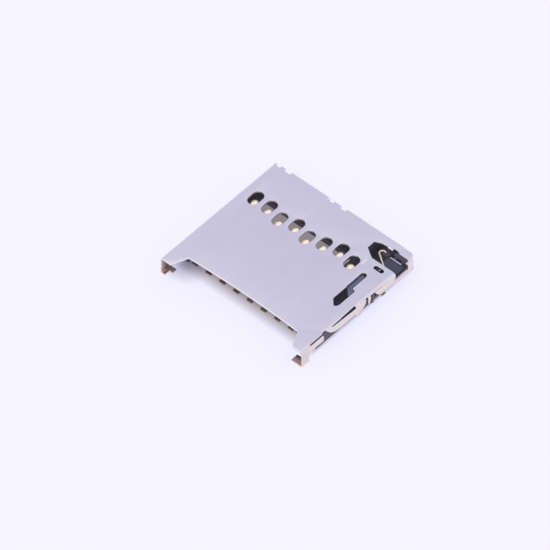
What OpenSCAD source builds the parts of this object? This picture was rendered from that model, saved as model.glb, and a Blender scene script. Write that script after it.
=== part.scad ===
// Push-push socket for a small memory card, soldered to a circuit board.
// X runs across the card, Y is the way the card goes in, Z is up from the board.
// The origin is under the middle of the shell, on the board.
// Sizes below are measured from the front left corner, which centred() moves into place.

/* [Overall size] */
// Depth of the shell along the card
body_d = 10.4; // [10.3:0.05:11]
// Height of the shell above the board
body_h = 1.42; // [1.42:0.01:1.6]

/* [Cover sheet] */
// Thickness of the stamped sheet
sheet = 0.15; // [0.12:0.01:0.16]
// Outer radius of its bends
bend_r = 0.3; // [0.26:0.01:0.34]
// Width of the left prong at the front edge
left_prong = 0.84; // [0.7:0.02:1]
// Width of the right prong at the front edge
right_prong = 0.85; // [0.7:0.02:1]
// How far the front edge stands back between the prongs
mouth_depth = 1.12; // [0.9:0.02:1.2]
// How far the right solder foot reaches inward
foot_w = 0.93; // [0.8:0.01:1]
// Length of the right solder foot along the wall
foot_l = 0.55; // [0.4:0.05:0.6]
// How far the left solder foot reaches inward
left_foot_w = 0.65; // [0.6:0.01:0.75]
// Length of the left solder foot along the wall
left_foot_l = 0.76; // [0.7:0.01:0.85]
// Width of the notch in the left foot's front corner
foot_notch = 0.27; // [0.2:0.01:0.3]
// Height of the right wall's lower edge beside the slider
wall_low = 0.74; // [0.7:0.01:0.8]
// Width of the spring leaves cut in the right wall
leaf_h = 0.54; // [0.5:0.01:0.56]
// Width of an inspection window across the contacts
window_w = 0.76; // [0.6:0.02:0.8]
// Length of an inspection window along the contacts
window_l = 1.18; // [1:0.02:1.3]

/* [Card space] */
// Width of the leading part of the card
card_w = 9.7; // [9.4:0.05:9.9]
// Width from the card to the outside of the right wall, where the slider runs
slider_space = 1.55; // [1.55:0.05:1.8]
// Thickness of the card
card_t = 0.7; // [0.66:0.01:0.7]
// Clearance beside the card
card_gap = 0.04; // [0.03:0.01:0.06]
// Spare height over and under the card together
card_play = 0.12; // [0.1:0.01:0.16]

/* [Contacts] */
// Distance from the card's left edge to the first contact
first_contact = 0.93; // [0.9:0.01:1]
// Distance from the last contact to the card's right edge
last_contact = 1.07; // [1.07:0.01:1.15]
// Width of the contact strip
contact_w = 0.42; // [0.34:0.01:0.44]
// Thickness of the contact strip
contact_t = 0.1; // [0.08:0.005:0.1]
// Height of the contact tip above the board
tip_h = 1.17; // [1:0.01:1.19]
// Radius of the curl at the contact tip
tip_r = 0.3; // [0.24:0.01:0.34]
// Diameter of the rounded tip seen from above
tip_d = 0.52; // [0.44:0.01:0.56]
// How far the solder tails stand out in front of the housing
tail_out = 0.25; // [0.2:0.01:0.35]

/* [Housing] */
// Set-back of the housing from the front of the shell
housing_front = 2.05; // [1.9:0.01:2.2]
// Thickness of the floor under the slider
channel_floor = 0.1; // [0.1:0.01:0.13]
// Thickness of the low wall beside the slider
rail_t = 0.16; // [0.12:0.01:0.18]
// Width of the openings that the contacts spring in
contact_slot = 0.72; // [0.6:0.01:0.8]
// Set-back of the low right wall from the outside of the shell
side_step = 0.45; // [0.4:0.01:0.5]

/* [Slider and cam] */
// Travel of the slider
travel = 0.8; // [0.6:0.05:0.8]
// Length of the slider
slider_l = 4.08; // [4:0.02:4.16]
// Running clearance of the slider
run_gap = 0.03; // [0.02:0.005:0.04]
// Length of the card lock on the front of the slider
lock_l = 1.88; // [1.7:0.02:1.9]
// Width of the card lock's arm
lock_w = 0.38; // [0.34:0.01:0.4]
// Thickness of the card lock's strip
lock_t = 0.12; // [0.1:0.01:0.14]
// How far the card lock reaches into the card's way
lock_reach = 0.2; // [0.1:0.01:0.22]
// Depth of the heart cam groove
groove_depth = 0.2; // [0.16:0.01:0.22]
// Width of the spring tunnel in the slider
tunnel_w = 0.5; // [0.48:0.01:0.52]
// Height of the spring tunnel above the slider's underside
tunnel_h = 0.52; // [0.5:0.01:0.54]

/* [Wire pin] */
// Diameter of the wire
wire_d = 0.13; // [0.11:0.01:0.15]
// Swing of the pin in degrees
swing = 18; // [12:1:18]
// Radius of the hook near the pivot
hook_r = 0.19; // [0.16:0.01:0.22]
// Clearance between the wire and what it runs in
wire_gap = 0.04; // [0.02:0.005:0.05]

/* [Return spring] */
// Outer diameter of the coil
coil_d = 0.42; // [0.36:0.01:0.44]
// Diameter of the coil's wire
coil_wire = 0.07; // [0.05:0.01:0.08]
// Number of turns
coil_turns = 11; // [8:1:12]

/* [Hidden] */
CONTACTS = 8;
contact_pitch = (card_w - first_contact - last_contact) / (CONTACTS - 1);

round_fn = 48;
steel = [0.80, 0.78, 0.82];
black = [0.10, 0.10, 0.12];
gold = [0.86, 0.70, 0.38];
grey = [0.36, 0.37, 0.44];
// How far a cut runs past a face, and the least overlap of two joined shapes
over = 1;
hair = 0.01;

// Small clearance between pieces that are fixed to each other
fit_gap = 0.02;
// The card lies against the left wall, just under the top sheet
card_left = sheet + 0.05;
card_right = card_left + card_w;
body_w = card_right + slider_space;
inner_r = bend_r - sheet;
inner_top = body_h - sheet;
inner_right = body_w - sheet;
inner_rear = body_d - sheet;
floor_top = inner_top - card_t - card_play;

// Contact rows: columns 3 and 5 stand forward, column 7 stands back
row_y = body_d - 3.06;
row_step = 0.29;
beam_root = row_y - 3.04;
slot_end = row_y + 0.61;
tip_shift = 0.1;
bay_front = row_y - 0.44;
bay_rear = row_y + 0.97;
bay_last = 6;
bend_gap = 0.005;
tip_sweep = 55;
tip_steps = 10;
function contact_x(i) = card_left + first_contact + contact_pitch * i;
function contact_y(i) = row_y + (i == 2 || i == 4 ? -row_step : i == 6 ? row_step : 0);

// Slider channel along the right side
slider_left = card_right + card_gap;
side_x = body_w - side_step;
slider_low_right = side_x - rail_t - run_gap;
slider_right = inner_right - 0.1;
slider_rear = inner_rear - 0.05 - travel;
slider_front = slider_rear - slider_l;
slider_bottom = channel_floor + run_gap;
slider_top = inner_top - run_gap;
cam_top = inner_top - wire_gap - wire_d - 0.08;
shelf_top = body_h - 0.7;
shelf_t = 0.12;
groove_floor = cam_top - groove_depth;
rim = 0.1;
nose_cut = 0.5;
nose_slant = 0.54;
push_tab = 0.3;
push_reach = 0.28;
push_tab_y = slider_rear - 1.35;
tunnel_x = (slider_left + slider_low_right) / 2;
tunnel_top = slider_bottom + tunnel_h;
nose_wall = 0.4;
channel_front = slider_front - 1.32;

// Wire pin: pivot leg, hook, arm and tip leg
pivot = [slider_left - 0.28, slider_rear + 0.08];
tip = [slider_left + 0.4, slider_rear - 1.28];
wire_z = cam_top + wire_gap + wire_d / 2;
arm_angle = -34;
elbow_r = 0.12;
hook_centre = [pivot[0] - 0.1, pivot[1] - hook_r];
tip_reach = norm(tip - pivot);
tip_bearing = atan2(tip[1] - pivot[1], tip[0] - pivot[0]);
tip_swung = pivot + tip_reach * [cos(tip_bearing + swing), sin(tip_bearing + swing)];
lane_w = wire_d + 2 * wire_gap;
arc_steps = 12;
pivot_floor = groove_floor - 0.32;
hook_steps = 12;
elbow_steps = 5;
wire_sides = 12;
arm_r = wire_d / 2 - 0.005;

// Card lock on the slider's front: a wide nose and a narrow arm
lock_left = slider_left - lock_reach;
lock_right = lock_left + lock_w;
lock_head = lock_left + 0.68;
lock_nose = 0.44;
lock_front = slider_front - 0.04;
lock_step = slider_front + 0.53;
lock_rear = lock_front + lock_l;
lock_bottom = slider_top - lock_t;
lock_low = floor_top + card_gap;
lock_edge_t = 0.09;
lock_edge = [lock_head - lock_nose - 0.08, lock_front + lock_nose];

// Pivot block behind the card's right edge
block_left = pivot[0] - 0.38;
block_right = slider_left - run_gap - 0.01;
block_front = slider_rear - 0.08;
block_top = cam_top + 0.02;

// Spring rail that the slider rides over
rail_w = tunnel_w - 0.12;
rail_top = tunnel_top - run_gap - 0.01;
rail_front = slider_rear - 0.9;
spring_front = slider_front + nose_wall + fit_gap;
spring_rear = rail_front - fit_gap;
spring_z = channel_floor + run_gap + coil_d / 2 + 0.02;
coil_seg = 12;
coil_sides = 6;

// Card switch beside the last contact
switch_x = contact_x(CONTACTS - 1) + 0.55;
switch_w = 0.26;
switch_slot = 0.36;
switch_y = contact_y(CONTACTS - 1) + 0.26;
switch_rear = slider_rear - 0.15;
switch_end = body_d - 0.05;
switch_half = 0.17;
switch_rise = 0.3;
switch_curl = 0.25;

// Corner opening in the top sheet
open_left = pivot[0] - 0.91;
open_front = slider_rear - 1;
open_rear = slider_rear + 0.32;
open_low = body_h - 0.59;
lip_x = [pivot[0] - 0.02, pivot[0] + 0.36];
lip_l = 0.06;
hole_w = 0.31;
hole_l = 0.74;
mark_w = 0.12;
mark_l = 0.5;
mark_depth = 0.08;

// Slot over the slider's high part
slot_left = slider_left - 0.04;
slot_wide = 0.62;
slot_narrow = 0.4;
slot_shift = 0.05;
slot_step = slider_front + 0.48;
slot_front = slot_step - 1.77;
slot_rear = slot_step + 1.42;

// Right wall: slits in the bend over two leaves, then a web, a thin leg, a lug and a low strip
slit_angle = 52;
slit_1 = 0.1;
slit_2 = [0.06, 0.18];
leaf_low = body_h - bend_r * (1 - sin(slit_angle)) - leaf_h;
leaf_1_low = leaf_low + 0.12;
web_end = slider_front + 0.4;
web_low = 0.5;
wall_run = web_end - foot_l;
leaf_1_start = foot_l + 0.17;
leaf_1_end = foot_l + 0.27 * wall_run;
leaf_2_start = foot_l + 0.297 * wall_run;
leaf_2_root = foot_l + 0.43 * wall_run;
leaf_2_full = foot_l + 0.57 * wall_run;
leaf_2_end = web_end - 0.85;
leaf_steps = 8;
gap_low = body_h - 0.42;
gap_high = body_h - 0.08;
leg_low = body_h - 0.64;
leg_start = web_end + 0.24;
lug_low = body_h - 0.82;
lug_high = body_h - 0.16;
lug_start = leg_start + 0.22;
lug_end = leg_start + 0.57;
low_start = lug_end + 0.57;
strip_low = 0.62;
strip_start = slider_rear - 1.3;
post_start = open_rear - 0.23;

// Left wall: raised lower edge and two latch windows
left_low = 0.1;
left_foot_end = left_foot_l + 0.1;
left_post = body_d - 0.9;
latch_y = [3.4, 7.6];
latch_w = 0.6;
latch_low = 0.2;
latch_high = 0.5;

// Rear edge: two bent flanges, the flat carrier tabs between them, and the ends of the walls
flange_low = 0.3;
flange_1 = [1.41, 4.43];
flange_2 = [5.84, body_w - 0.96];
carrier_tabs = [[0.59, 0.95], [4.87, 5.45]];
tab_edge = body_d - 0.12;
rear_r = sheet + 0.04;
left_end = body_d - 0.13;
right_end = body_d - 0.43;

// Front edge between the prongs, a shallow curve
mouth_x0 = left_prong + 0.47;
mouth_x1 = body_w - right_prong - 0.58;
mouth_sag = 0.12;
mouth_steps = 24;

// Moulded housing details
housing_left = sheet + fit_gap;
housing_right = inner_right - fit_gap;
housing_rear = inner_rear - fit_gap;
lug_out = 0.35;
lug_out_right = 0.2;
bridge_front = slider_rear + 0.15;
wall_front = slider_rear - 0.2;
wall_left = housing_left + 0.1;
wall_right = block_left - 0.6;
wall_rear = inner_rear - 0.1;
bar = 0.14;
pockets = 5;

// Moves a piece from the corner it is measured from to the middle of the shell
module centred() {
  translate([-body_w / 2, -body_d / 2, 0])
    children();
}

// Box between two corners
module block(a, b) {
  translate(a)
    cube(b - a);
}

// Flat outline in X and Y, made solid between two heights
module plate(z0, z1) {
  translate([0, 0, z0])
    linear_extrude(z1 - z0)
      children();
}

// Flat outline in X and Z, made solid between two depths
module along_y(y0, y1) {
  translate([0, y1, 0])
    rotate([90, 0, 0])
      linear_extrude(y1 - y0)
        children();
}

// Flat outline in Y and Z, made solid between two widths
module along_x(x0, x1) {
  translate([x0, 0, 0])
    rotate([90, 0, 90])
      linear_extrude(x1 - x0)
        children();
}

// Slot with round ends along Y, centred on a point
module obround(centre, w, l) {
  translate(centre) {
    square([w, l - w], center = true);
    for (side = [-1, 1])
      translate([0, side * (l - w) / 2])
        circle(d = w, $fn = round_fn);
  }
}

// Upright U seen from the front, with rounded upper corners
module arch(w, h, r) {
  square([w, h - r]);
  translate([r, 0])
    square([w - 2 * r, h]);
  for (x = [r, w - r])
    translate([x, h - r])
      circle(r, $fn = round_fn);
}

// Section of the sheet across the socket
module sheet_section() {
  difference() {
    arch(body_w, body_h, bend_r);
    translate([sheet, -over])
      arch(body_w - 2 * sheet, inner_top + over, inner_r);
  }
}

// Section at the front, where the walls fold under into solder feet of two widths
module foot_section(left_w, right_w) {
  difference() {
    intersection() {
      arch(body_w, body_h, bend_r);
      translate([0, body_h])
        mirror([0, 1])
          arch(body_w, body_h, bend_r);
    }
    intersection() {
      translate([sheet, -over])
        arch(body_w - 2 * sheet, inner_top + over, inner_r);
      translate([sheet, inner_top + over])
        mirror([0, 1])
          arch(body_w - 2 * sheet, inner_top + over - sheet, inner_r);
    }
    translate([left_w, -over])
      square([body_w - left_w - right_w, over + sheet + hair]);
  }
}

// Flange bent down at the rear edge between two widths
module rear_flange(x0, x1) {
  translate([x0, body_d - rear_r, body_h - rear_r])
    rotate([90, 0, 90])
      rotate_extrude(angle = 90, $fn = round_fn)
        translate([rear_r - sheet, 0])
          square([sheet, x1 - x0]);
  block([x0, body_d - bend_r, inner_top], [x1, body_d - rear_r, body_h]);
  block([x0, inner_rear, flange_low], [x1, body_d, body_h - rear_r]);
}

// Points of the front edge, from one prong to the other
function mouth_point(s) =
  [mouth_x0 + (mouth_x1 - mouth_x0) * s, mouth_depth + 4 * mouth_sag * s * (1 - s)];

module mouth_outline() {
  curve = [for (i = [0 : mouth_steps]) mouth_point(i / mouth_steps)];
  polygon(concat([[left_prong, -over], [left_prong, 0]], curve,
                 [[body_w - right_prong, 0], [body_w - right_prong, -over]]));
}

// Opening in the corner of the top sheet, over the wire pin
module corner_outline() {
  polygon([[open_left, open_rear - 0.25], [open_left + 0.02, open_front + 0.45],
           [open_left + 0.75, open_front], [body_w + over, open_front],
           [body_w + over, post_start], [body_w, post_start], [body_w - 0.25, open_rear],
           [body_w - 0.9, open_rear], [body_w - 1.1, open_rear + 0.11],
           [lip_x[1], open_rear + 0.11], [lip_x[1], open_rear],
           [lip_x[0] - 0.1, open_rear], [open_left + 0.42, open_rear - 0.07]]);
}

// Opening over the card lock: wide in front, a round-ended slot behind
module slider_slot_outline() {
  narrow_l = slot_rear - slot_step + slot_narrow / 2;
  polygon([[slot_left, slot_front + 0.42], [slot_left + 0.42, slot_front],
           [slot_left + 0.56, slot_front + 0.12], [slot_left + slot_wide, slot_front + 0.3],
           [slot_left + slot_wide, slot_step - 0.08], [slot_left + slot_narrow, slot_step],
           [slot_left - slot_shift, slot_step + slot_narrow], [slot_left - slot_shift / 4, slot_step]]);
  obround([slot_left - slot_shift + slot_narrow / 2, slot_rear - narrow_l / 2],
          slot_narrow, narrow_l);
}

// What is cut out of the right wall, as an outline in Y and Z
module right_wall_cut() {
  // Lower edge of the second leaf, from its root in the top sheet down to its full width
  root_top = body_h + bend_r / 2;
  root = [for (i = [0 : leaf_steps])
    let (s = i / leaf_steps)
      [leaf_2_start + (leaf_2_full - leaf_2_start) * s,
       leaf_low + (root_top - leaf_low) * (1 - s) ^ 2.3]];
  polygon(concat([[foot_l, -over], [foot_l, web_low], [foot_l + 0.25, leaf_1_low + 0.04],
                  [leaf_1_end - 0.08, leaf_1_low - 0.04], [leaf_1_end, body_h],
                  [leaf_1_end, body_h + over], [leaf_2_start, body_h + over]],
                 root,
                 [[leaf_2_end - 0.1, leaf_low + 0.02], [leaf_2_end + 0.1, web_low],
                  [web_end - 0.6, web_low], [web_end - 0.3, leaf_low], [web_end - 0.1, gap_low],
                  [web_end + 0.06, gap_high], [leg_start - 0.02, gap_high],
                  [leg_start - 0.07, gap_low], [leg_start, leg_low], [leg_start + 0.08, leg_low],
                  [leg_start + 0.22, gap_high - 0.04], [lug_end, gap_high - 0.04],
                  [lug_end + 0.1, gap_low + 0.1], [lug_end + 0.38, leaf_low], [low_start, wall_low],
                  [strip_start, wall_low + 0.04], [strip_start + 0.14, strip_low],
                  [body_d + over, strip_low], [body_d + over, -over]]));
}

// Slit through the bend of the right wall, between two depths, with a width at each end
module bend_slit(y0, y1, w0, w1) {
  translate([body_w - bend_r, 0, body_h - bend_r])
    rotate([0, 90 - slit_angle, 0])
      linear_extrude(over)
        polygon([[-w0 / 2, y0], [w0 / 2, y0], [w1 / 2, y1], [-w1 / 2, y1]]);
}

// Lip at the rear of the corner opening, with its upper edge pressed down
module lip() {
  along_x(lip_x[0], lip_x[1])
    polygon([[open_rear + hair, inner_top], [open_rear - lip_l, inner_top],
             [open_rear - lip_l, body_h - lip_l], [open_rear, body_h], [open_rear + hair, body_h]]);
}

// Stamped sheet cover with its windows, leaves, feet and flanges
module shell() {
  wall_x = body_w - bend_r;
  centred() color(steel) {
    lip();
    difference() {
      union() {
        along_y(0, foot_l) foot_section(left_foot_w, foot_w);
        intersection() {
          along_y(foot_l, left_foot_l) foot_section(left_foot_w, foot_w);
          block([0, 0, 0], [left_foot_w, body_d, body_h]);
        }
        along_y(foot_l, body_d - bend_r) sheet_section();
        for (x = [[0, bend_r], [wall_x, body_w]])
          intersection() {
            along_y(body_d - bend_r, body_d) sheet_section();
            block([x[0], 0, 0], [x[1], body_d + over, body_h]);
          }
        for (x = carrier_tabs)
          block([x[0], body_d - bend_r, inner_top], [x[1], tab_edge, body_h]);
        block([flange_2[1] + 0.04, body_d - bend_r, inner_top], [wall_x, tab_edge, body_h]);
        rear_flange(flange_1[0], flange_1[1]);
        rear_flange(flange_2[0], flange_2[1]);
      }
      plate(body_h / 2, body_h + over) mouth_outline();
      // The walls end short of the rear edge, the right one with its corner cut off
      block([-over, left_end, -over], [bend_r + hair, body_d + over, body_h + over]);
      plate(-over, body_h + over)
        polygon([[wall_x - 0.06, body_d + over], [wall_x - 0.06, tab_edge], [body_w, right_end],
                 [body_w + over, right_end], [body_w + over, body_d + over]]);
      // Notch in the inner corner of the left foot
      block([left_foot_w - foot_notch, -over, -over], [left_foot_w + over, left_foot_l * 0.54, sheet + hair]);
      for (i = [0 : CONTACTS - 1])
        plate(inner_top - hair, body_h + over)
          obround([contact_x(i), contact_y(i)], window_w, window_l);
      plate(inner_top - hair, body_h + over) {
        slider_slot_outline();
        corner_outline();
        translate([tip[0] + 0.09, tip[1] - 0.15])
          rotate(90)
            obround([0, 0], hole_w, hole_l);
      }
      // Pressed mark beside the windows
      plate(body_h - mark_depth, body_h + over)
        obround([slider_left - 0.53, row_y + 0.51], mark_w, mark_l);
      along_x(wall_x, body_w + over) right_wall_cut();
      bend_slit(leaf_1_start, leaf_1_end + hair, slit_1, slit_1);
      bend_slit(leaf_2_root, leaf_2_end, slit_2[0], slit_2[1]);
      // The corner opening runs down over the right wall
      along_x(wall_x, body_w + over)
        polygon([[open_front, body_h + over], [open_front, inner_top], [open_front - 0.16, open_low],
                 [post_start, open_low], [post_start, body_h + over]]);
      block([-over, left_foot_end, -over], [bend_r, left_post, left_low]);
      for (y = latch_y)
        block([-over, y - latch_w / 2, latch_low], [sheet + hair, y + latch_w / 2, latch_high]);
    }
  }
}

// Cored pocket in the plastic, open at the top
module pocket(a, b) {
  block(a, [b[0], b[1], body_h]);
}

// Moulded base with the card floor, the contact openings and the slider channel
module housing() {
  cell = (wall_right - wall_left - bar) / pockets;
  centred() color(black) {
    difference() {
      union() {
        block([housing_left, housing_front, 0], [side_x, housing_rear, floor_top]);
        // Corner lugs at the front edge
        block([wall_left, housing_front - lug_out, 0], [wall_left + 0.45, housing_front, floor_top]);
        block([switch_x - 0.15, housing_front - lug_out_right, 0],
              [switch_x + 0.35, housing_front, floor_top]);
        // Rear wall that the card stops short of
        block([wall_left, wall_front, 0], [wall_right, wall_rear, inner_top - fit_gap]);
        // Front right block beside the card
        plate(0, slider_top)
          polygon([[slider_left, housing_front + 0.6], [slider_left + 0.5, housing_front - lug_out],
                   [side_x, housing_front - lug_out], [side_x, channel_front],
                   [slider_left, channel_front]]);
        // Low wall and shelf along the slider
        block([side_x - rail_t, channel_front, 0], [side_x, housing_rear, shelf_top]);
        block([side_x - rail_t, web_end - 0.9, shelf_top - shelf_t],
              [housing_right, right_end - 0.05, shelf_top]);
        // Block that holds the pivot of the wire pin
        block([block_left, block_front, 0], [block_right, housing_rear, block_top]);
        // Sloping lug in the opening of the right wall
        along_x(side_x, housing_right)
          polygon([[lug_start, lug_low], [lug_start + 0.22, lug_low],
                   [lug_start + 0.25, shelf_top], [lug_start + 0.03, shelf_top]]);
        along_x(housing_right, body_w - fit_gap)
          polygon([[lug_start, lug_low], [lug_start + 0.22, lug_low],
                   [lug_end - 0.03, lug_high], [lug_end - 0.22, lug_high]]);
        // Stop behind the slider, in the gap of the rear flange
        block([flange_2[1] + 0.06, housing_rear - hair, 0], [side_x, tab_edge, inner_top - fit_gap]);
        // Latch lugs on the left side
        for (y = latch_y)
          block([fit_gap, y - latch_w / 2 + fit_gap, latch_low + fit_gap],
                [housing_left, y + latch_w / 2 - fit_gap, latch_high - 0.08]);
      }
      // Slider channel
      block([slider_left - run_gap, channel_front, channel_floor],
            [side_x - rail_t, body_d, body_h]);
      // Openings for the contact beams, and grooves for their tails
      for (i = [0 : CONTACTS - 1]) {
        block([contact_x(i) - contact_slot / 2, beam_root - 0.1, -over],
              [contact_x(i) + contact_slot / 2, slot_end, body_h]);
        block([contact_x(i) - contact_w / 2 - bend_gap, 0, -over],
              [contact_x(i) + contact_w / 2 + bend_gap, beam_root, contact_t]);
      }
      // One wide opening under the tips of all contacts but the last
      block([contact_x(0) - contact_slot / 2, bay_front, -over],
            [contact_x(bay_last) + contact_slot / 2, bay_rear, body_h]);
      // Pockets in the rear wall
      for (i = [0 : pockets - 1])
        pocket([wall_left + bar + i * cell, wall_front + bar, floor_top],
               [wall_left + (i + 1) * cell, wall_rear - bar]);
      // Pocket in the front right block
      pocket([slider_left + 0.45, housing_front + 0.3, floor_top],
             [side_x - rail_t, channel_front - 0.2]);
      // Dark recess beside the pivot block
      pocket([wall_right, wall_front - 0.25, channel_floor], [block_left, housing_rear - 0.2]);
      // Bore for the pivot leg
      translate([pivot[0], pivot[1], pivot_floor - run_gap])
        cylinder(d = wire_d + wire_gap, h = body_h, $fn = round_fn);
      // Openings for the card switch and its fixed strip
      block([switch_x - switch_slot / 2, switch_y - switch_half - hair, -over],
            [switch_x + switch_slot / 2, switch_rear, floor_top + over]);
      block([switch_x - switch_w / 2 - bend_gap, switch_rear - hair, -over],
            [switch_x + switch_w / 2 + bend_gap, body_d, contact_t]);
      block([switch_x, switch_y - switch_half - hair, -over],
            [body_w, switch_y + switch_half + hair, channel_floor]);
    }
    // Rail that carries the spring's rear end
    block([tunnel_x - rail_w / 2, rail_front, channel_floor - fit_gap],
          [tunnel_x + rail_w / 2, housing_rear, rail_top]);
    // Bridge from the stop over the slider's rear end
    plate(wire_z + run_gap, inner_top - fit_gap)
      polygon([[slider_left + 0.3, bridge_front], [slider_right, bridge_front],
               [slider_right, right_end - 0.05], [side_x, housing_rear], [side_x - 0.1, tab_edge],
               [flange_2[1] + 0.06, tab_edge], [flange_2[1] + 0.06, housing_rear],
               [slider_left + 0.3, housing_rear]]);
  }
}

// Thickens a centre line in Y and Z into a strip outline
function unit(v) = v / norm(v);
function normal_at(p, i) =
  let (a = p[max(i - 1, 0)], b = p[min(i + 1, len(p) - 1)], d = unit(b - a)) [-d[1], d[0]];
module strip_outline(p, t) {
  upper = [for (i = [0 : len(p) - 1]) p[i] + normal_at(p, i) * t / 2];
  lower = [for (i = [len(p) - 1 : -1 : 0]) p[i] - normal_at(p, i) * t / 2];
  polygon(concat(upper, lower));
}

// Centre line of a spring contact: flat tail, rising beam, curled tip
function beam_line(tail_y, root_y, peak_y, peak_z, r) =
  let (z0 = contact_t / 2,
       centre = [peak_y, peak_z - contact_t / 2 - r],
       root = [root_y, z0],
       gap = norm(centre - root),
       rise = atan2(centre[1] - z0, centre[0] - root_y) + asin(r / gap))
  concat([[tail_y, z0], [root_y - 0.12, z0], [root_y, z0 + 0.008]],
         [for (i = [0 : tip_steps])
           let (a = 90 + rise - (rise + tip_sweep) * i / tip_steps)
             centre + r * [cos(a), sin(a)]]);

// One spring contact, with a rounded tip under its window
module contact(i) {
  x = contact_x(i);
  peak_y = contact_y(i) - tip_shift;
  centred() color(gold)
    intersection() {
      along_x(x - tip_d / 2, x + tip_d / 2)
        strip_outline(beam_line(housing_front - tail_out, beam_root, peak_y, tip_h, tip_r), contact_t);
      plate(-over, body_h) {
        translate([x - contact_w / 2, 0])
          square([contact_w, peak_y]);
        translate([x, peak_y])
          circle(d = tip_d, $fn = round_fn);
      }
    }
}

// Moving strip of the card switch: runs forward from the rear tail and rises into the card's way
module detect_spring() {
  line = beam_line(0, switch_end - switch_rear + 0.12, switch_end - switch_y - 0.25,
                   floor_top + switch_rise, switch_curl);
  centred() color(gold)
    along_x(switch_x - switch_w / 2, switch_x + switch_w / 2)
      translate([switch_end, 0])
        mirror([1, 0])
          strip_outline(line, contact_t);
}

// Fixed strip of the card switch, which runs out under the right wall
module detect_contact() {
  centred() color(gold)
    block([switch_x - switch_w / 2, switch_y - switch_half, 0],
          [side_x + 0.22, switch_y + switch_half, channel_floor]);
}

// Closed track of the pin's tip, as seen by the slider, with its island left standing
module heart_groove() {
  for (lane = [tip, tip_swung])
    obround([lane[0], lane[1] - travel / 2], lane_w, travel + lane_w);
  for (shift = [0, travel])
    translate([pivot[0], pivot[1] - shift])
      rotate(tip_bearing)
        arc_band(tip_reach, lane_w, swing);
}

// Part of a ring of a given middle radius
function arc_point(r, angle, i) = r * [cos(angle * i / arc_steps), sin(angle * i / arc_steps)];
module arc_band(r, w, angle) {
  outer = [for (i = [0 : arc_steps]) arc_point(r + w / 2, angle, i)];
  inner = [for (i = [arc_steps : -1 : 0]) arc_point(r - w / 2, angle, i)];
  polygon(concat(outer, inner));
}

// Slider that the card pushes, with the cam groove on top and the spring tunnel below
module slider() {
  centred() color(grey)
    difference() {
      union() {
        block([slider_left, slider_front, slider_bottom], [slider_low_right, slider_rear, cam_top]);
        block([slider_left, slider_front, shelf_top + run_gap], [slider_right, slider_rear, cam_top]);
        // Pad that carries the card lock
        block([slider_left, lock_rear - 0.9, cam_top - hair], [lock_right, lock_rear - 0.1, lock_bottom]);
        // Tab that the card pushes
        block([card_right - push_reach, push_tab_y, floor_top + card_gap],
              [slider_left, push_tab_y + push_tab, cam_top - fit_gap]);
        // Rear rim
        block([slider_left + 2 * rim, slider_rear - rim, cam_top - rim],
              [slider_right - 2 * rim, slider_rear, wire_z]);
      }
      // Slanted nose
      plate(-over, body_h + over)
        polygon([[slider_left - over, slider_front - over],
                 [slider_left + nose_cut, slider_front - over],
                 [slider_left + nose_cut, slider_front], [slider_left, slider_front + nose_slant],
                 [slider_left - over, slider_front + nose_slant]]);
      // Spring tunnel, open below and behind
      block([tunnel_x - tunnel_w / 2, slider_front + nose_wall, -over],
            [tunnel_x + tunnel_w / 2, slider_rear + over, tunnel_top]);
      plate(groove_floor, body_h + over) heart_groove();
    }
}

// Steel strip on the slider that locks the card: a narrow arm, and a slanted nose bent down
module card_lock() {
  nose_end = lock_edge + lock_nose * [1, -1];
  inward = lock_edge_t * [sin(45), cos(45)];
  centred() color(steel) {
    plate(lock_bottom, slider_top) {
      polygon([[lock_left, lock_front + lock_nose + 0.2], lock_edge, nose_end,
               [lock_head, lock_front + 0.04], [lock_head, lock_step], [lock_right, lock_step + 0.1],
               [lock_right, lock_rear - lock_w / 2], [lock_left, lock_rear - lock_w / 2]]);
      translate([lock_left + lock_w / 2, lock_rear - lock_w / 2])
        circle(d = lock_w, $fn = round_fn);
    }
    plate(lock_low, slider_top)
      polygon([lock_edge, nose_end, nose_end + inward, lock_edge + inward]);
  }
}

// Middle line of the wire, level with the board: hook, straight arm, elbow, tip
arm = [cos(arm_angle), sin(arm_angle)];
arm_side = [-sin(arm_angle), cos(arm_angle)];
arm_start = hook_centre - hook_r * arm_side;
arm_end_x = tip[0] - elbow_r * (1 + sin(arm_angle));
arm_end = arm_start + arm * (arm_end_x - arm_start[0]) / arm[0];
elbow_centre = arm_end - elbow_r * arm_side;
hook_sweep = 180 + arm_angle;
arm_line = concat(
  [pivot],
  [for (i = [0 : hook_steps])
    let (a = 90 + hook_sweep * i / hook_steps) hook_centre + hook_r * [cos(a), sin(a)]],
  [for (i = [0 : elbow_steps])
    let (a = (90 + arm_angle) * (1 - i / elbow_steps)) elbow_centre + elbow_r * [cos(a), sin(a)]],
  [tip]);

// Upright leg of round wire with a domed top
module wire_leg(at, z0) {
  translate([at[0], at[1], z0])
    cylinder(d = wire_d, h = wire_z - z0, $fn = round_fn);
  translate([at[0], at[1], wire_z])
    sphere(d = wire_d, $fn = round_fn);
}

// Hook, arm and elbow as rings of points round the middle line
module wire_arm() {
  rings = len(arm_line);
  points = [for (i = [0 : rings - 1], j = [0 : wire_sides - 1])
    let (n = normal_at(arm_line, i), a = 360 * (j + 0.5) / wire_sides)
      [arm_line[i][0] + n[0] * arm_r * cos(a), arm_line[i][1] + n[1] * arm_r * cos(a),
       wire_z + arm_r * sin(a)]];
  sides = [for (i = [0 : rings - 2], j = [0 : wire_sides - 1])
    [i * wire_sides + j, (i + 1) * wire_sides + j,
     (i + 1) * wire_sides + (j + 1) % wire_sides, i * wire_sides + (j + 1) % wire_sides]];
  first = [for (j = [0 : wire_sides - 1]) j];
  last = [for (j = [wire_sides - 1 : -1 : 0]) (rings - 1) * wire_sides + j];
  polyhedron(points, concat([first], sides, [last]));
}

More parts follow.
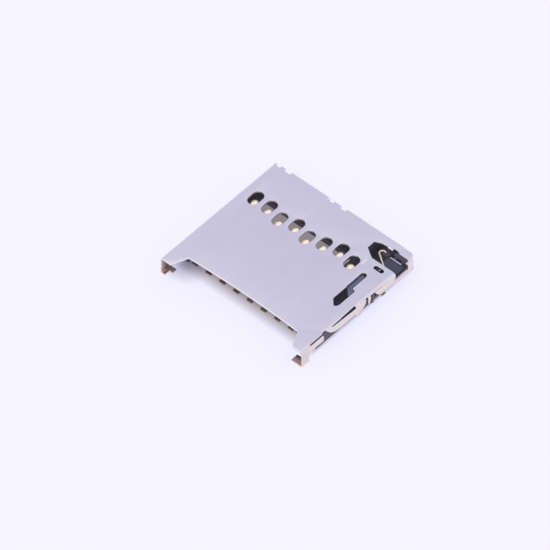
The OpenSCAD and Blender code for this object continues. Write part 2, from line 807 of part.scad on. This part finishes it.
// Bent wire whose tip follows the cam groove
module cam_pin() {
  centred() color(steel) {
    wire_leg(pivot, pivot_floor);
    wire_arm();
    wire_leg(tip, groove_floor + wire_gap);
  }
}

// Coil of round wire, as rings of points along a helix
module eject_spring() {
  r = (coil_d - coil_wire) / 2;
  y0 = spring_front + coil_wire / 2;
  pitch = (spring_rear - spring_front - coil_wire) / coil_turns;
  rings = coil_turns * coil_seg;
  points = [for (i = [0 : rings], j = [0 : coil_sides - 1])
    let (a = 360 * i / coil_seg,
         b = 360 * j / coil_sides,
         out = r + coil_wire / 2 * cos(b))
      [tunnel_x + out * cos(a), y0 + pitch * i / coil_seg + coil_wire / 2 * sin(b),
       spring_z + out * sin(a)]];
  sides = [for (i = [0 : rings - 1], j = [0 : coil_sides - 1])
    [i * coil_sides + j, (i + 1) * coil_sides + j,
     (i + 1) * coil_sides + (j + 1) % coil_sides, i * coil_sides + (j + 1) % coil_sides]];
  first = [for (j = [0 : coil_sides - 1]) j];
  last = [for (j = [coil_sides - 1 : -1 : 0]) rings * coil_sides + j];
  centred() color(steel)
    polyhedron(points, concat([first], sides, [last]));
}

shell();
housing();
contact(0);  // contact_1
contact(1);  // contact_2
contact(2);  // contact_3
contact(3);  // contact_4
contact(4);  // contact_5
contact(5);  // contact_6
contact(6);  // contact_7
contact(7);  // contact_8
detect_spring();
detect_contact();
slider();
card_lock();
cam_pin();
eject_spring();
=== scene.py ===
import math

import bmesh
import bpy
from mathutils import Matrix, Vector
from mathutils.bvhtree import BVHTree


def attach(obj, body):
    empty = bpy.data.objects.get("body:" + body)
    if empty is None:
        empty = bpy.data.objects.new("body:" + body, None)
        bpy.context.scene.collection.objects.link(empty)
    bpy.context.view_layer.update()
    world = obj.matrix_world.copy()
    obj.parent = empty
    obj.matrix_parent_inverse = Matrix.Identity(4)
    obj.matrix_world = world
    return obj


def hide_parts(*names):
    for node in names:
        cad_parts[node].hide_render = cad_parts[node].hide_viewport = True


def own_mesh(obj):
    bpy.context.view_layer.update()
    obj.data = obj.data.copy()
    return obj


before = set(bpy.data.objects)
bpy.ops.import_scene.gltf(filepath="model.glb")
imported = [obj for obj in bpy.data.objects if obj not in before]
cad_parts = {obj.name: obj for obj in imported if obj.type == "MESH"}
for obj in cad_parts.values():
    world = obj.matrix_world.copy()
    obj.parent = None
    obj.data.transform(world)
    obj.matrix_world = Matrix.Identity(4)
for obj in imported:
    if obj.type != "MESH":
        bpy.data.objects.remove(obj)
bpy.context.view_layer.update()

# Sizes below are in millimetres, measured from the front left corner of the cover
MM = 0.001
BODY_W = 11.45
BODY_D = 10.4
BODY_H = 1.42
HALF_W = BODY_W / 2
HALF_D = BODY_D / 2
CORNER = Vector((-HALF_W, -HALF_D, 0))


def place(x, y, z):
    """A point measured from the front left corner, in metres in the shared frame."""
    return (Vector((x, y, z)) + CORNER) * MM


# Middle of the pressed mark beside the windows, half its width and length, and its depth
MARK = (9.36, 7.85)
MARK_HALF_W = 0.07
MARK_HALF_L = 0.27
MARK_DEPTH = 0.03

# Wire pin: wire radius, pivot and tip seen from above, height of its level run
WIRE_R = 0.065
PIVOT = (9.66, 9.48)
TIP = (10.34, 8.12)
WIRE_Z = 1.125


# Materials

def nodes_of(name):
    mat = bpy.data.materials.new(name)
    mat.use_nodes = True
    tree = mat.node_tree
    return mat, tree, tree.nodes["Principled BSDF"]


def coords(tree, scale=(1, 1, 1)):
    """Object coordinates in millimetres, stretched by scale."""
    tex = tree.nodes.new("ShaderNodeTexCoord")
    mapping = tree.nodes.new("ShaderNodeMapping")
    mapping.inputs["Scale"].default_value = [s / MM for s in scale]
    tree.links.new(tex.outputs["Object"], mapping.inputs["Vector"])
    return mapping.outputs["Vector"]


def noise(tree, scale, detail=3.0, rough=0.55, stretch=(1, 1, 1)):
    node = tree.nodes.new("ShaderNodeTexNoise")
    node.inputs["Scale"].default_value = scale
    node.inputs["Detail"].default_value = detail
    node.inputs["Roughness"].default_value = rough
    tree.links.new(coords(tree, stretch), node.inputs["Vector"])
    return node.outputs["Fac"]


def remap(tree, value, a, b, lo, hi):
    node = tree.nodes.new("ShaderNodeMapRange")
    for key, v in zip(("From Min", "From Max", "To Min", "To Max"), (a, b, lo, hi)):
        node.inputs[key].default_value = v
    tree.links.new(value, node.inputs["Value"])
    return node.outputs["Result"]


def mix(tree, factor, first, second):
    node = tree.nodes.new("ShaderNodeMix")
    node.data_type = "RGBA"
    tree.links.new(factor, node.inputs["Factor"])
    for socket, value in ((node.inputs[6], first), (node.inputs[7], second)):
        if isinstance(value, tuple):
            socket.default_value = (*value, 1)
        else:
            tree.links.new(value, socket)
    return node.outputs[2]


def maths(tree, operation, first, second=None):
    """One arithmetic step on sockets or plain numbers."""
    node = tree.nodes.new("ShaderNodeMath")
    node.operation = operation
    for socket, value in zip(node.inputs, (first, second)):
        if value is None:
            continue
        if isinstance(value, (int, float)):
            socket.default_value = value
        else:
            tree.links.new(value, socket)
    return node.outputs[0]


def times(tree, *values):
    product = values[0]
    for value in values[1:]:
        product = maths(tree, "MULTIPLY", product, value)
    return product


def bump(tree, shader, height, distance, strength):
    node = tree.nodes.new("ShaderNodeBump")
    node.inputs["Distance"].default_value = distance * MM
    node.inputs["Strength"].default_value = strength
    tree.links.new(height, node.inputs["Height"])
    tree.links.new(node.outputs["Normal"], shader.inputs["Normal"])


def split(tree):
    """X, Y and Z in millimetres from the origin of the part."""
    node = tree.nodes.new("ShaderNodeSeparateXYZ")
    tree.links.new(coords(tree), node.inputs[0])
    return node.outputs


def cover_steel():
    mat, tree, shader = nodes_of("cover_steel")
    x, y, z = split(tree)
    cloud = noise(tree, 0.7, 2.0)
    grain = noise(tree, 5.0, 4.0, 0.6, (0.35, 3.0, 1.0))
    speck = noise(tree, 34.0, 2.0, 0.6)
    patches = remap(tree, cloud, 0.3, 0.7, 0, 1)
    sheet = mix(tree, patches, (0.895, 0.872, 0.872), (0.925, 0.902, 0.902))
    sheet = mix(tree, remap(tree, grain, 0.35, 0.75, 0, 0.3), sheet, (0.85, 0.825, 0.83))
    # The right wall is warmer in tone, the feet are gold-toned low down at the front, and the
    # brown inside them is painted shade under the cover
    wall = remap(tree, x, HALF_W - 0.2, HALF_W - 0.04, 0, 1)
    front = remap(tree, y, -HALF_D + 0.75, -HALF_D + 0.5, 0, 1)
    warm = mix(tree, front, (0.84, 0.755, 0.70), (0.745, 0.68, 0.635))
    base = mix(tree, wall, sheet, warm)
    uneven_z = maths(tree, "ADD", z, times(tree, cloud, 0.3))
    low = remap(tree, uneven_z, 0.75, 0.2, 0, 1)
    base = mix(tree, times(tree, low, front), base, (0.90, 0.76, 0.60))
    # Painted shade: the inner faces of the feet at the front are darkened to brown
    shaded_foot_inside = remap(tree, maths(tree, "ABSOLUTE", x), HALF_W - 0.10, HALF_W - 0.13, 0, 1)
    under = remap(tree, z, BODY_H - 0.1, BODY_H - 0.13, 0, 1)
    above = remap(tree, z, 0.10, 0.13, 0, 0.85)
    base = mix(tree, times(tree, shaded_foot_inside, under, above, front), base, (0.42, 0.30, 0.235))
    wear_and_ridge_highlight = remap(tree, grain, 0.3, 0.7, 0.27, 0.37)
    rough = maths(tree, "ADD", wear_and_ridge_highlight, remap(tree, speck, 0.3, 0.7, -0.02, 0.03))
    tree.links.new(rough, shader.inputs["Roughness"])
    # The pressed mark has a rounded bottom that catches more light, and that bottom is painted
    # white and non-metallic as a painted highlight
    from_mark = maths(tree, "SUBTRACT", x, MARK[0] - HALF_W)
    across = maths(tree, "DIVIDE", from_mark, MARK_HALF_W)
    along = maths(tree, "ABSOLUTE", maths(tree, "SUBTRACT", y, MARK[1] - HALF_D))
    round_bottom = maths(tree, "SUBTRACT", 1.0, times(tree, across, across))
    ends = remap(tree, along, MARK_HALF_L, MARK_HALF_L - 0.02, 0, 1)
    hollow = times(tree, ends, maths(tree, "MAXIMUM", 0.0, round_bottom))
    texture = times(tree, maths(tree, "ADD", grain, speck), 0.0012)
    bump(tree, shader, maths(tree, "ADD", texture, times(tree, hollow, MARK_DEPTH)), 1.0, 0.6)
    # Painted highlight: white, non-metallic colour in the mark's bottom
    painted_mark_highlight = remap(tree, hollow, 0.1, 0.5, 0, 1)
    tree.links.new(mix(tree, painted_mark_highlight, base, (1.0, 0.99, 1.0)), shader.inputs["Base Color"])
    tree.links.new(maths(tree, "SUBTRACT", 1.0, painted_mark_highlight), shader.inputs["Metallic"])
    return mat


def near(tree, point, inner, outer):
    """1 within inner millimetres of a point, seen from above, fading to 0 at outer."""
    x, y, z = split(tree)
    dx = maths(tree, "SUBTRACT", x, point[0] - HALF_W)
    dy = maths(tree, "SUBTRACT", y, point[1] - HALF_D)
    away = maths(tree, "SQRT", maths(tree, "ADD", times(tree, dx, dx), times(tree, dy, dy)))
    return remap(tree, away, inner, outer, 1, 0)


def moulded(name, dark, light, rough_lo, rough_hi, painted_reflection_spot=None, ridge_highlight_z=None, fill=0.0):
    """Matte plastic; spot is where a brown painted reflection goes, rim the height above which a
    ridge gets a painted highlight, fill its own light.
    """
    mat, tree, shader = nodes_of(name)
    cloud = noise(tree, 1.6, 3.0)
    grit = noise(tree, 26.0, 3.0, 0.65)
    base = mix(tree, remap(tree, cloud, 0.3, 0.72, 0, 1), dark, light)
    # Painted reflection: a brown spot on the plastic under the wire
    if painted_reflection_spot:
        base = mix(tree, near(tree, painted_reflection_spot, 0.12, 0.3), base, (0.20, 0.085, 0.025))
    # Painted highlight: the ridge turns pale above the rim height
    if ridge_highlight_z:
        x, y, z = split(tree)
        wear_and_ridge_highlight = times(tree, remap(tree, z, ridge_highlight_z - 0.02, ridge_highlight_z - 0.01, 0, 1),
                     remap(tree, grit, 0.3, 0.5, 0.6, 1))
        base = mix(tree, wear_and_ridge_highlight, base, (0.56, 0.56, 0.70))
    tree.links.new(base, shader.inputs["Base Color"])
    tree.links.new(remap(tree, grit, 0.3, 0.7, rough_lo, rough_hi), shader.inputs["Roughness"])
    shader.inputs["Specular IOR Level"].default_value = 0.6
    # A trace of light of its own keeps the deep recesses from going quite black
    shader.inputs["Emission Color"].default_value = (0.84, 0.78, 1.0, 1)
    shader.inputs["Emission Strength"].default_value = fill
    bump(tree, shader, grit, 0.004, 0.7)
    return mat


def plated_gold():
    mat, tree, shader = nodes_of("contact_gold")
    cloud = noise(tree, 3.0, 3.0)
    fine = noise(tree, 30.0, 2.0)
    plate = mix(tree, remap(tree, cloud, 0.3, 0.7, 0, 1), (1.0, 0.86, 0.66), (1.0, 0.93, 0.80))
    # Tails in front of the housing are darkened to brown, a painted shade under the cover's
    # overhang
    x, y, z = split(tree)
    painted_tail_shade = remap(tree, y, -HALF_D + 2.2, -HALF_D + 1.9, 0, 0.85)
    base = mix(tree, painted_tail_shade, plate, (0.15, 0.09, 0.08))
    # The switch tip that shows in the right wall is a deeper, warmer gold
    switch = remap(tree, x, HALF_W - 0.52, HALF_W - 0.46, 0, 1)
    tree.links.new(mix(tree, switch, base, (0.78, 0.60, 0.46)), shader.inputs["Base Color"])
    tree.links.new(remap(tree, switch, 0, 1, 1, 0.35), shader.inputs["Metallic"])
    tree.links.new(remap(tree, fine, 0.3, 0.7, 0.2, 0.34), shader.inputs["Roughness"])
    # The tips glow a little, in the light that the cover's edges throw on them
    shader.inputs["Emission Color"].default_value = (1.0, 0.79, 0.46, 1)
    tree.links.new(remap(tree, z, 0.95, 1.15, 0, 0.24), shader.inputs["Emission Strength"])
    bump(tree, shader, fine, 0.0015, 0.5)
    return mat


def drawn_steel():
    mat, tree, shader = nodes_of("drawn_wire")
    shader.inputs["Metallic"].default_value = 1.0
    streak = noise(tree, 10.0, 3.0, 0.6, (2.5, 2.5, 0.5))
    streaks = remap(tree, streak, 0.3, 0.7, 0, 1)
    tree.links.new(mix(tree, streaks, (0.90, 0.77, 0.60), (0.98, 0.88, 0.73)),
                   shader.inputs["Base Color"])
    tree.links.new(remap(tree, streak, 0.3, 0.7, 0.18, 0.32), shader.inputs["Roughness"])
    return mat


def shaded_lock_steel():
    mat, tree, shader = nodes_of("shaded_lock_steel")
    shader.inputs["Metallic"].default_value = 1.0
    streak = noise(tree, 8.0, 3.0, 0.6, (3.0, 0.4, 1.0))
    streaks = remap(tree, streak, 0.3, 0.7, 0, 1)
    # Steel like the cover's, darkened and tinted blue as painted shade, for the strip lies in
    # shade under the cover's slot
    tree.links.new(mix(tree, streaks, (0.18, 0.18, 0.26), (0.25, 0.25, 0.34)),
                   shader.inputs["Base Color"])
    tree.links.new(remap(tree, streak, 0.3, 0.7, 0.28, 0.42), shader.inputs["Roughness"])
    return mat


def paper():
    mat, tree, shader = nodes_of("pale_floor")
    fibre = noise(tree, 0.9, 3.0)
    tree.links.new(mix(tree, fibre, (0.30, 0.27, 0.11), (0.315, 0.283, 0.12)),
                   shader.inputs["Base Color"])
    shader.inputs["Roughness"].default_value = 0.9
    shader.inputs["Specular IOR Level"].default_value = 0.0
    # Lit from below as well, like a light table, so that shadows stay faint and bluish; under the
    # part that glow is lowered, a painted shade that fades out toward the front edge
    x, y, z = split(tree)
    beside = remap(tree, maths(tree, "ABSOLUTE", x), HALF_W - 0.6, HALF_W - 0.25, 0, 1)
    before = remap(tree, y, 2.0 - HALF_D, 1.0 - HALF_D, 0, 1)
    behind = remap(tree, y, HALF_D - 0.3, HALF_D, 0, 1)
    clear = maths(tree, "MAXIMUM", beside, maths(tree, "MAXIMUM", before, behind))
    light = mix(tree, clear, (0.212, 0.187, 0.248), (0.692, 0.697, 0.947))
    # The painted shade is deepest beside the left foot
    painted_deep_shade = times(tree, near(tree, (0.8, 1.6), 0.2, 1.6), 0.6)
    tree.links.new(mix(tree, painted_deep_shade, light, (0.0, 0.0, 0.12)), shader.inputs["Emission Color"])
    shader.inputs["Emission Strength"].default_value = 1.0
    return mat


STEEL = cover_steel()
BLACK = moulded("housing_black", (0.052, 0.050, 0.068), (0.074, 0.071, 0.098), 0.40, 0.58,
                painted_reflection_spot=(9.62, 9.1), fill=0.016)
GREY = moulded("slider_grey", (0.050, 0.055, 0.085), (0.070, 0.076, 0.112), 0.34, 0.5, ridge_highlight_z=WIRE_Z)
GOLD = plated_gold()
WIRE = drawn_steel()
SHADED_LOCK = shaded_lock_steel()


# Pieces

def piece(name, mesh, mat, body, slot, *stands_for):
    obj = bpy.data.objects.new(name, mesh)
    bpy.context.scene.collection.objects.link(obj)
    mesh.materials.clear()
    mesh.materials.append(mat)
    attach(obj, body)
    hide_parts(*stands_for)
    return obj


# Sizes for cleaning and rounding meshes, in millimetres and degrees
MERGE = 0.0005
FLAT_ANGLE = 0.6
SHARP_ANGLE = 32
SMOOTH_ANGLE = 38
ROUND_SMOOTH_ANGLE = 50


def finish_mesh(bm, name, smooth=SMOOTH_ANGLE):
    """Back to metres, smooth faces with sharp edges kept."""
    bmesh.ops.recalc_face_normals(bm, faces=bm.faces)
    bmesh.ops.transform(bm, matrix=Matrix.Scale(MM, 4), verts=bm.verts)
    mesh = bpy.data.meshes.new(name)
    bm.to_mesh(mesh)
    bm.free()
    mesh.polygons.foreach_set("use_smooth", [True] * len(mesh.polygons))
    mesh.set_sharp_from_angle(angle=math.radians(smooth))
    return mesh


def softened(node, width, segments):
    """A copy of a solid's mesh whose sharp edges are rounded by width, in millimetres."""
    bm = bmesh.new()
    bm.from_mesh(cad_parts[node].data)
    bmesh.ops.transform(bm, matrix=Matrix.Scale(1 / MM, 4), verts=bm.verts)
    bmesh.ops.remove_doubles(bm, verts=bm.verts, dist=MERGE)
    bmesh.ops.dissolve_limit(bm, angle_limit=math.radians(FLAT_ANGLE), verts=bm.verts,
                             edges=bm.edges)
    sharp = [e for e in bm.edges
             if len(e.link_faces) == 2 and e.calc_face_angle(0) > math.radians(SHARP_ANGLE)]
    solid = BVHTree.FromBMesh(bm)
    low = [min(v.co[i] for v in bm.verts) for i in range(3)]
    high = [max(v.co[i] for v in bm.verts) for i in range(3)]
    bmesh.ops.bevel(bm, geom=sharp, offset=width, offset_type="OFFSET", segments=segments,
                    profile=0.5, affect="EDGES", clamp_overlap=False)
    # Where very short edges pushed a corner off the solid, it goes back to the solid's
    # surface, and never out of the solid's box
    for vert in bm.verts:
        at, _, _, away = solid.find_nearest(vert.co)
        if away > width:
            vert.co = at
        vert.co = [min(max(c, lo), hi) for c, lo, hi in zip(vert.co, low, high)]
    bmesh.ops.triangulate(bm, faces=[f for f in bm.faces if len(f.verts) > 4])
    return bm


def tube(name, path, radius, sides):
    """Round wire with flat ends along a path of points in metres, as a mesh."""
    bm = bmesh.new()
    points = [Vector(p) for p in path]
    normal = None
    rings = []
    for i, p in enumerate(points):
        ahead = points[min(i + 1, len(points) - 1)] - points[max(i - 1, 0)]
        ahead.normalize()
        if normal is None:
            normal = ahead.orthogonal().normalized()
        normal = (normal - ahead * normal.dot(ahead)).normalized()
        across = ahead.cross(normal)
        angles = [2 * math.pi * j / sides for j in range(sides)]
        rings.append([bm.verts.new(p + radius * (math.cos(a) * normal + math.sin(a) * across))
                      for a in angles])
    for a, b in zip(rings, rings[1:]):
        for j in range(sides):
            bm.faces.new((a[j], a[(j + 1) % sides], b[(j + 1) % sides], b[j]))
    bm.faces.new(rings[0][::-1])
    bm.faces.new(rings[-1])
    bmesh.ops.recalc_face_normals(bm, faces=bm.faces)
    mesh = bpy.data.meshes.new(name)
    bm.to_mesh(mesh)
    bm.free()
    mesh.polygons.foreach_set("use_smooth", [True] * len(mesh.polygons))
    mesh.set_sharp_from_angle(angle=math.radians(ROUND_SMOOTH_ANGLE))
    return mesh


def plain_piece(name, node, width, segments, mat, body, slot):
    """A piece that is a solid with its edges rounded."""
    piece(name, finish_mesh(softened(node, width, segments), name), mat, body, slot, node)


plain_piece("cover_sheet", "shell", 0.018, 2, STEEL, "base", "cover_steel")
plain_piece("base_moulding", "housing", 0.014, 1, BLACK, "base", "housing_plastic")
plain_piece("slider_moulding", "slider", 0.014, 1, GREY, "slider", "slider_plastic")
plain_piece("card_lock_strip", "card_lock", 0.02, 2, SHADED_LOCK, "slider", "cover_steel")

# Contact tips: first contact, pitch, and how fast and from what height they fall to the sides
CONTACTS = 8
CONTACT_1 = 1.13 - HALF_W
PITCH = 1.1
DOME = 2.0
DOME_FROM = 0.9
DOME_FADE = 0.1
CUTS = 5
CUT_STEP = 0.045
CUT_SNAP = 0.001


def domed(node, x):
    """A contact whose tip, at x from the middle, is rounded across as well."""
    bm = softened(node, 0.014, 2)
    for k in range(-CUTS, CUTS + 1):
        bmesh.ops.bisect_plane(bm, geom=bm.verts[:] + bm.edges[:] + bm.faces[:], dist=CUT_SNAP,
                               plane_co=(x + CUT_STEP * k, 0, 0), plane_no=(1, 0, 0))
    for vert in bm.verts:
        if vert.co.z > DOME_FROM:
            fade = min(1, (vert.co.z - DOME_FROM) / DOME_FADE)
            vert.co.z -= DOME * (vert.co.x - x) ** 2 * fade
    return bm


for i in range(CONTACTS):
    name = "contact_%d" % (i + 1)
    tip = domed(name, CONTACT_1 + PITCH * i)
    piece(name + "_strip", finish_mesh(tip, name + "_strip", ROUND_SMOOTH_ANGLE), GOLD, "base",
          "contact_metal", name)
for name in ("detect_spring", "detect_contact"):
    plain_piece(name + "_strip", name, 0.012, 1, GOLD, "base", "contact_metal")

# Wire pin: one length of round wire from the pivot leg through hook, arm and elbow to the tip leg
HOOK_R = 0.19
ELBOW_R = 0.12
ARM_ANGLE = math.radians(-34)
LEG_BEND = 0.09
PIVOT_FLOOR = 0.5
TIP_FLOOR = 0.86


def bend(start, corner, end, radius, steps=5):
    """Points of a rounded corner between two straight runs."""
    a = (Vector(start) - Vector(corner)).normalized()
    b = (Vector(end) - Vector(corner)).normalized()
    out = []
    for i in range(steps + 1):
        t = i / steps
        out.append(Vector(corner) + radius * ((1 - t) ** 2 * a + t ** 2 * b))
    return out


def pin_path():
    arm = Vector((math.cos(ARM_ANGLE), math.sin(ARM_ANGLE)))
    side = Vector((-arm.y, arm.x))
    hook = Vector((PIVOT[0] - 0.1, PIVOT[1] - HOOK_R))
    start = hook - HOOK_R * side
    end_x = TIP[0] - ELBOW_R * (1 + math.sin(ARM_ANGLE))
    end = start + arm * (end_x - start.x) / arm.x
    elbow = end - ELBOW_R * side
    sweep = math.pi + ARM_ANGLE
    turned = [math.pi / 2 + sweep * i / 20 for i in range(1, 21)]
    flat = [hook + HOOK_R * Vector((math.cos(a), math.sin(a))) for a in turned]
    flat += [start.lerp(end, t) for t in (0.25, 0.5, 0.75)]
    turn = math.pi / 2 + ARM_ANGLE
    turned = [turn * (1 - i / 7) for i in range(8)]
    flat += [elbow + ELBOW_R * Vector((math.cos(a), math.sin(a))) for a in turned]
    level = [(p.x, p.y, WIRE_Z) for p in flat]
    foot = (PIVOT[0], PIVOT[1], PIVOT_FLOOR)
    top = (PIVOT[0], PIVOT[1], WIRE_Z)
    nose = (TIP[0], TIP[1], WIRE_Z)
    tip = (TIP[0], TIP[1], TIP_FLOOR)
    path = [foot] + bend(foot, top, level[0], LEG_BEND) + level
    path += bend(level[-1], nose, tip, LEG_BEND) + [tip]
    return [place(*p) for p in path]


piece("bent_wire_pin", tube("bent_wire_pin", pin_path(), WIRE_R * MM, 18), WIRE, "cam_pin",
      "wire_steel", "cam_pin")

# Coil spring under the slider, on its rail
COIL_D = 0.42
COIL_WIRE = 0.07
COIL_X = 10.375
COIL_Z = 0.36
COIL_FRONT = 5.74
COIL_REAR = 8.48
TURNS = 11
TURN_STEPS = 24


def coil_path():
    r = (COIL_D - COIL_WIRE) / 2
    steps = TURN_STEPS * TURNS
    length = COIL_REAR - COIL_FRONT - COIL_WIRE
    points = []
    for i in range(steps + 1):
        a = 2 * math.pi * i / TURN_STEPS
        y = COIL_FRONT + COIL_WIRE / 2 + length * i / steps
        points.append(place(COIL_X + r * math.cos(a), y, COIL_Z + r * math.sin(a)))
    return points


coil = piece("coil_spring", tube("coil_spring", coil_path(), COIL_WIRE / 2 * MM, 10), WIRE, "base",
             "wire_steel", "eject_spring")
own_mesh(coil)


# Floor, light and camera

# A hair under the part, so that no face of it lies in the floor
FLOOR_DROP = -0.00001

floor_mesh = bpy.data.meshes.new("floor")
half = 2.0
corners = [(-half, -half, 0), (half, -half, 0), (half, half, 0), (-half, half, 0)]
floor_mesh.from_pydata(corners, [], [(0, 1, 2, 3)])
floor_mesh.materials.append(paper())
floor = bpy.data.objects.new("floor", floor_mesh)
bpy.context.scene.collection.objects.link(floor)
floor.location.z = FLOOR_DROP

# Soft light from all round, greyer overhead, and most so in the part of the sky that the
# top sheet mirrors
GREY_SKY = (-0.60, 0.66, 0.45)
world = bpy.data.worlds.new("studio")
bpy.context.scene.world = world
world.use_nodes = True
tree = world.node_tree
direction = tree.nodes.new("ShaderNodeTexCoord")
towards = tree.nodes.new("ShaderNodeVectorMath")
towards.operation = "DOT_PRODUCT"
towards.inputs[1].default_value = GREY_SKY
tree.links.new(direction.outputs["Generated"], towards.inputs[0])
height = tree.nodes.new("ShaderNodeSeparateXYZ")
tree.links.new(direction.outputs["Generated"], height.inputs[0])
overhead = remap(tree, height.outputs["Z"], 0.25, 0.65, 0, 0.5)
mirrored = remap(tree, towards.outputs["Value"], 0.35, 0.85, 0, 1)
grey = maths(tree, "MAXIMUM", overhead, mirrored)
colour = mix(tree, grey, (0.97, 0.95, 1.03), (0.61, 0.605, 0.79))
tree.links.new(colour, tree.nodes["Background"].inputs["Color"])


key_light = bpy.data.lights.new("key", "AREA")
key_light.shape = "SQUARE"
key_light.size = 0.16
key_light.energy = 0.02
key_light.color = (1.0, 0.985, 0.99)
key = bpy.data.objects.new("key", key_light)
bpy.context.scene.collection.objects.link(key)
key.location = (-0.2, -0.12, 0.2)
key.rotation_mode = "QUATERNION"
key.rotation_quaternion = (-key.location).to_track_quat("-Z", "Y")

# The photograph looks down on the part from the front right, from far away
PHOTO_PX = 550
PX_PER_MM = 16.7
# How far the picture's middle lies to the right of and above the part's middle, in pixels
SHIFT_PX = (-14.2, -11.1)
DISTANCE = 800.0
right = Vector((12.46, 11.12, 0)).normalized()
up = Vector((-8.337, 9.42, 11.0)).normalized()
back = right.cross(up).normalized()
up = back.cross(right)
middle = Vector((0, 0, BODY_H / 2))
target = middle + right * (SHIFT_PX[0] / PX_PER_MM) + up * (SHIFT_PX[1] / PX_PER_MM)
camera = bpy.data.cameras.new("camera")
camera.lens = camera.sensor_width * DISTANCE / (PHOTO_PX / PX_PER_MM)
camera.clip_start = 0.05
camera.clip_end = 20
camera_obj = bpy.data.objects.new("camera", camera)
bpy.context.scene.collection.objects.link(camera_obj)
camera_obj.matrix_world = Matrix.Translation((target + back * DISTANCE) * MM) @ Matrix(
    (right, up, back)).transposed().to_4x4()
bpy.context.scene.camera = camera_obj
bpy.context.scene.view_settings.view_transform = "Standard"
